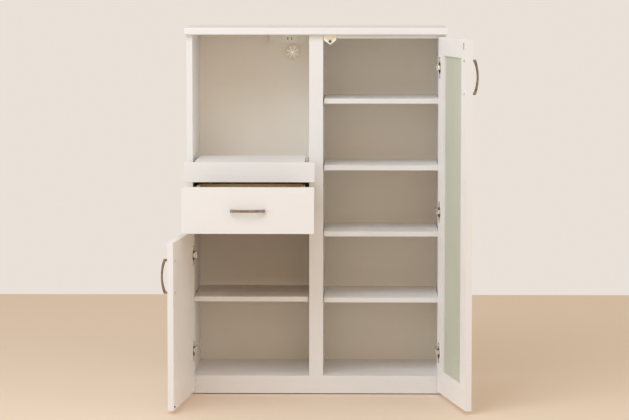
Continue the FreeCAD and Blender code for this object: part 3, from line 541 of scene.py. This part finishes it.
beige = moulded("beige_plastic", (0.90, 0.82, 0.65), (0.87, 0.78, 0.60), roughness=0.5)
dress(beige, "cord_grommet")
ease(moulding_break, "cord_grommet")
ring_low, ring_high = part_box("cord_grommet")
ring_middle = (ring_low + ring_high) / 2
ring_wall, flap_seat, flap_setback = 0.005, 0.0003, 0.0022
bore_radius = (ring_high.x - ring_low.x) / 2 - ring_wall
hub = bpy.data.meshes.new("cord_flap_place")
hub.from_pydata([(ring_middle.x, ring_low.y + flap_setback, ring_middle.z)], [], [])
cord_flaps = grown("cord_flaps", hub, flap_tree(), {
    "Count": 8, "Outer Radius": bore_radius + flap_seat, "Core Radius": 0.0025, "Slit Width": 0.0011,
    "Dish Depth": 0.0016, "Thickness": 0.0008, "Plastic": beige,
})
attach(cord_flaps, "carcass")


# Magnet of the catch: a short round rod, sintered and left bare, pressed into the plate that hangs
# from the top rail of the tall cupboard. It holds the door by the steel strike on the door's inner face.

bare_magnet, tree, shader = new_finish("bare_magnet")
pits = noise(tree, add(tree, "ShaderNodeTexCoord").outputs["Object"], scale=900.0, detail=4.0)
dark = toned(tree, pits, (0.35, (0.07, 0.06, 0.05)), (0.65, (0.15, 0.135, 0.12)))
feed(tree, shader, dark, between(tree, pits, 0.4, 0.6))
raised(tree, shader, pits, strength=0.2, distance=0.0002)
shader.inputs["Metallic"].default_value = 0.7
dress(bare_magnet, "catch_magnet")


# Telescopic slides: three zinc-plated steel channels on each side, one in the other. The outer ones
# are screwed to the walls, and the inner ones to the drawer and the slide-out shelf.

rails = (
    "slide_outer_rails", "drawer_middle_rails", "drawer_inner_rails", "slide_shelf_middle_rails",
    "slide_shelf_inner_rails",
)
rail_break = 0.0003
dress(zinc, *rails)
ease(rail_break, *rails)


# Cup hinges: pressed steel cups in 35 mm bores of the doors, and cast arms on plates that are
# screwed to the sides. All of it is nickel plated, and each cup has two screws of its own.


def solids(name, own_frame=Matrix()):
    """The box of each loose solid of a piece, seen in a frame of its own."""
    mesh = bmesh.new()
    mesh.from_mesh(cad[name].data)
    bmesh.ops.transform(mesh, matrix=own_frame.inverted(), verts=mesh.verts)
    bmesh.ops.remove_doubles(mesh, verts=mesh.verts, dist=WELD_GAP)
    boxes = []
    waiting = set(mesh.verts)
    while waiting:
        reached = [waiting.pop()]
        found = list(reached)
        while reached:
            corner = reached.pop()
            for edge in corner.link_edges:
                other = edge.other_vert(corner)
                if other in waiting:
                    waiting.remove(other)
                    reached.append(other)
                    found.append(other)
        low = Vector([min(corner.co[axis] for corner in found) for axis in range(3)])
        high = Vector([max(corner.co[axis] for corner in found) for axis in range(3)])
        boxes.append((low, high))
    mesh.free()
    return sorted(boxes, key=lambda box: (box[0].z, box[0].x))


def door_frame(name):
    """Where a shut door's own frame, with its origin at the pin, lies while the door stands open."""
    joint = next(joint for joint in frame["joints"] if joint["name"] == name)
    opened = math.radians(-joint["range_deg"][0])
    return Matrix.Translation(joint["pos_m"]) @ Matrix.Rotation(opened, 4, Vector(joint["axis"]))


def inner_face(low, high):
    """Where a fitting on a side wall ends towards the middle of the cabinet, and which way that is."""
    if low.x < 0:
        return high.x, Vector((1, 0, 0))
    return low.x, Vector((-1, 0, 0))


ALONG_HEIGHT = (1.0, 1.0, 0.08)
NICKEL, DULL_NICKEL = (0.76, 0.73, 0.68), (0.62, 0.58, 0.52)
nickel = plated_steel("nickel_plate", NICKEL, DULL_NICKEL, roughness=0.20, streak=ALONG_HEIGHT)
hinge_break = 0.0006
dress(nickel, "hinge_arms", "hinge_plates")
dress(nickel, "left_hinge_cups", "right_hinge_cups", "left_hinge_pins", "right_hinge_pins")
ease(hinge_break, "hinge_arms", "hinge_plates")
plate_screw_spread, cup_screw_spread = 0.017, 0.024
plate_screw_radius, hinge_screw_radius = 0.0036, 0.0034
arm_screw_shares = (0.52, 0.82)
plate_places = []
for low, high in solids("hinge_plates"):
    face, inward = inner_face(low, high)
    middle = (low + high) / 2
    for side in (-1, 1):
        plate_places.append(((face, middle.y, middle.z + side * plate_screw_spread), inward))
arm_places = []
for low, high in solids("hinge_arms"):
    face, inward = inner_face(low, high)
    for share in arm_screw_shares:
        arm_places.append(((face, low.y + (high.y - low.y) * share, (low.z + high.z) / 2), inward))
screw_set("hinge_plate_screws", "carcass", nickel, plate_screw_radius, plate_places)
screw_set("hinge_arm_screws", "carcass", nickel, hinge_screw_radius, arm_places)
for hand in ("left", "right"):
    hung = door_frame(f"{hand}_door_hinge")
    way = hung.to_3x3() @ BACKWARD
    cup_places = []
    for low, high in solids(f"{hand}_hinge_cups", hung):
        middle = (low + high) / 2
        for side in (-1, 1):
            point = Vector((middle.x, high.y, middle.z + side * cup_screw_spread))
            cup_places.append((hung @ point, way))
    screw_set(f"{hand}_cup_screws", f"{hand}_door", nickel, hinge_screw_radius, cup_places)


# Drawer box: four sides of thin board, wrapped in cream sheet and stapled at the corners, round a
# thin bottom that lies in their grooves. Its front is a separate board.

# The cream is partly the sheet's own tone and partly painted shade: it is made warmer and deeper to stand in
# for the warm shade inside the drawer. Its outer faces get a slightly darker tone, which is also painted
# shade.
CREAM, CREAM_SHADED, CREAM_OUTER_SHADE = (0.88, 0.72, 0.50), (0.84, 0.675, 0.455), (0.84, 0.69, 0.48)
drawer_cream = wrapped_board("drawer_cream", CREAM, CREAM_SHADED, CREAM_OUTER_SHADE, roughness=0.55)
drawer_box = ("drawer_left_side", "drawer_right_side", "drawer_inner_front", "drawer_back", "drawer_bottom")
dress(drawer_cream, *drawer_box)
ease(board_break, *drawer_box)


# Fronts: the boards that show while the cabinet is shut, lacquered outside, with softly rounded edges.
# The drawer front and the fascia are screwed on from inside, and the tall door is a frame of stiles
# and rails round its pane.

# The fronts take the smooth white and the darker outer tone on the faces that look out, both painted shade.
dress(smooth_white, "drawer_front", "slide_shelf_fascia")
dress(left_white, "left_door_panel")
dress(right_white, "right_door_hinge_stile", "right_door_free_stile")
dress(right_white, "right_door_top_rail", "right_door_bottom_rail", "right_door_glass_beads")


# Slide-out shelf: a wrapped board with the same edge strip as the carcass, screwed down on two
# battens. The inner channels of its slides carry the battens.

dress(satin_white, "slide_shelf_board", "slide_shelf_battens")
ease(board_break, "slide_shelf_board", "slide_shelf_battens")


# Pane of the tall door: a sheet of frosted glass with a pale green body. It lies in the rebate of the
# stiles and rails, where beads on the inner side hold it.

frosted, tree, shader = new_finish("frosted_glass")
place = add(tree, "ShaderNodeTexCoord").outputs["Object"]
etch = noise(tree, place, scale=1400.0, detail=3.0)
haze = noise(tree, place, scale=5.0, detail=3.0)
green = toned(tree, haze, (0.3, (0.725, 0.755, 0.63)), (0.7, (0.775, 0.80, 0.68)))
feed(tree, shader, green, between(tree, etch, 0.42, 0.62))
raised(tree, shader, etch, strength=0.25, distance=0.0001)
shader.inputs["Transmission Weight"].default_value = 0.30
shader.inputs["IOR"].default_value = 1.5
dress(frosted, "right_door_glass")


# Bow handles: zinc castings in an antique bronze plate, rubbed brighter in random patches.
# Each is held by two screws that come through the board from inside.

bronze, tree, shader = new_finish("antique_bronze")
place = add(tree, "ShaderNodeTexCoord").outputs["Object"]
patina = noise(tree, place, scale=130.0, detail=6.0, roughness=0.65)
rubbed = toned(
    tree, patina, (0.30, (0.150, 0.105, 0.068)), (0.55, (0.300, 0.225, 0.155)), (0.75, (0.430, 0.340, 0.250)),
)
feed(tree, shader, rubbed, between(tree, patina, 0.48, 0.30))
cast_skin = noise(tree, place, scale=1100.0, detail=2.0)
raised(tree, shader, cast_skin, strength=0.1, distance=0.0001)
shader.inputs["Metallic"].default_value = 0.85
handles = ("drawer_handle", "left_door_handle", "right_door_handle")
handle_round = 0.0018
dress(bronze, *handles)
ease(handle_round, *handles)


# Handle screws, strike and bumper: nickel-plated screws with domed heads inside the drawer and the
# doors, the satin steel strike that the catch holds, and a rubber stop that the left door shuts on.

SATIN_STEEL, DULL_STEEL = (0.74, 0.73, 0.72), (0.62, 0.61, 0.60)
satin_steel = plated_steel("satin_steel", SATIN_STEEL, DULL_STEEL, roughness=0.45, streak=ALONG_DEPTH)
rubber = moulded("grey_rubber", (0.20, 0.185, 0.165), (0.15, 0.138, 0.122), roughness=0.7)
dress(nickel, "drawer_handle_screws", "left_handle_screws", "right_handle_screws")
dress(satin_steel, "right_strike_plate")
dress(rubber, "left_door_bumper")
head_share = 0.9
right_hung = door_frame("right_door_hinge")
for body, hand, hung in (
    ("drawer", "drawer", Matrix()),
    ("left_door", "left", door_frame("left_door_hinge")),
    ("right_door", "right", right_hung),
):
    handle_screws = solids(f"{hand}_handle_screws", hung)
    handle_places = []
    for low, high in handle_screws:
        middle = (low + high) / 2
        point = Vector((middle.x, high.y, middle.z))
        handle_places.append((hung @ point, hung.to_3x3() @ BACKWARD))
    low, high = handle_screws[0]
    head_radius = (high.x - low.x) / 2 * head_share
    screw_set(f"{hand}_handle_screw_heads", body, nickel, head_radius, handle_places)
strike_low, strike_high = solids("right_strike_plate", right_hung)[0]
strike_middle = (strike_low + strike_high) / 2
strike_screw_radius, strike_screw_spread, strike_screw_sunk = 0.0024, 0.0060, 0.0009
strike_face = strike_high.y - strike_screw_sunk
strike_places = []
for side in (-1, 1):
    point = Vector((strike_middle.x, strike_face, strike_middle.z + side * strike_screw_spread))
    strike_places.append((right_hung @ point, right_hung.to_3x3() @ BACKWARD))
screw_set("strike_screws", "right_door", nickel, strike_screw_radius, strike_places)


# Stage: a plain pale floor, and a pale backdrop that the camera, gloss and glass see. The light is a
# warm even fill, two cool soft lamps from above and from the left, a plain one from the right and a
# weak warm one from the room in front.

floor_half = 2.45
corners = [(x * floor_half, y * floor_half, 0) for x, y in ((-1, -1), (1, -1), (1, 1), (-1, 1))]
floor_mesh = bpy.data.meshes.new("floor")
floor_mesh.from_pydata(corners, [], [(0, 1, 2, 3)])
floor = bpy.data.objects.new("floor", floor_mesh)
bpy.context.scene.collection.objects.link(floor)
pale, tree, shader = new_finish("pale_floor")
shader.inputs["Base Color"].default_value = (0.88, 0.71, 0.555, 1.0)
shader.inputs["Roughness"].default_value = 0.7
floor_mesh.materials.append(pale)

world = bpy.data.worlds.new("studio")
world.use_nodes = True
bpy.context.scene.world = world
tree = world.node_tree
tree.nodes.clear()
rays = add(tree, "ShaderNodeLightPath").outputs
seen = reckon(tree, "MAXIMUM", rays["Is Camera Ray"], rays["Is Glossy Ray"])
seen = reckon(tree, "MAXIMUM", seen, rays["Is Transmission Ray"])
fill = add(tree, "ShaderNodeBackground", {"Color": (1.0, 0.92, 0.79, 1.0), "Strength": 0.65})
backdrop = add(tree, "ShaderNodeBackground", {"Color": (0.82, 0.755, 0.69, 1.0), "Strength": 1.0})
chosen = add(tree, "ShaderNodeMixShader", {
    0: seen, 1: fill.outputs["Background"], 2: backdrop.outputs["Background"],
})
tree.links.new(chosen.outputs["Shader"], add(tree, "ShaderNodeOutputWorld").inputs["Surface"])


def lamp(name, place, target, size, power, colour):
    """A square soft lamp that looks at a target."""
    light = bpy.data.lights.new(name, "AREA")
    light.shape = "SQUARE"
    light.size = size
    light.energy = power
    light.color = colour
    holder = bpy.data.objects.new(name, light)
    bpy.context.scene.collection.objects.link(holder)
    holder.location = place
    holder.rotation_mode = "QUATERNION"
    holder.rotation_quaternion = (Vector(target) - Vector(place)).to_track_quat("-Z", "Y")


cabinet_middle = (0.0, 0.0, 0.6)
above_middle = (0.0, 0.0, 0.7)
lamp("ceiling_lamp", (-0.7, -2.4, 2.7), above_middle, size=1.4, power=34.5, colour=(0.77, 0.87, 1.0))
lamp("window_lamp", (-3.4, -3.2, 1.5), cabinet_middle, size=2.2, power=49.0, colour=(0.73, 0.86, 1.0))
lamp("side_lamp", (3.4, -3.2, 1.5), cabinet_middle, size=2.2, power=24.0, colour=(0.98, 0.93, 0.92))
lamp("room_lamp", (0.3, -6.0, 1.6), cabinet_middle, size=3.0, power=20.0, colour=(1.0, 0.72, 0.50))


# Camera: a long lens from well in front, a little right of the middle and just above the top board.
# It is pitched down a little, so that the open cabinet fills the picture.

camera_data = bpy.data.cameras.new("camera")
camera = bpy.data.objects.new("camera", camera_data)
bpy.context.scene.collection.objects.link(camera)
camera.location = (0.1365, -8.4255, 1.2699)
look_at = Vector((-0.0048, -0.190, 0.5685))
camera.rotation_mode = "QUATERNION"
camera.rotation_quaternion = (look_at - camera.location).to_track_quat("-Z", "Y")
camera_data.sensor_width = 36.0
camera_data.lens = 154.8
bpy.context.scene.camera = camera
bpy.context.scene.view_settings.view_transform = "Standard"
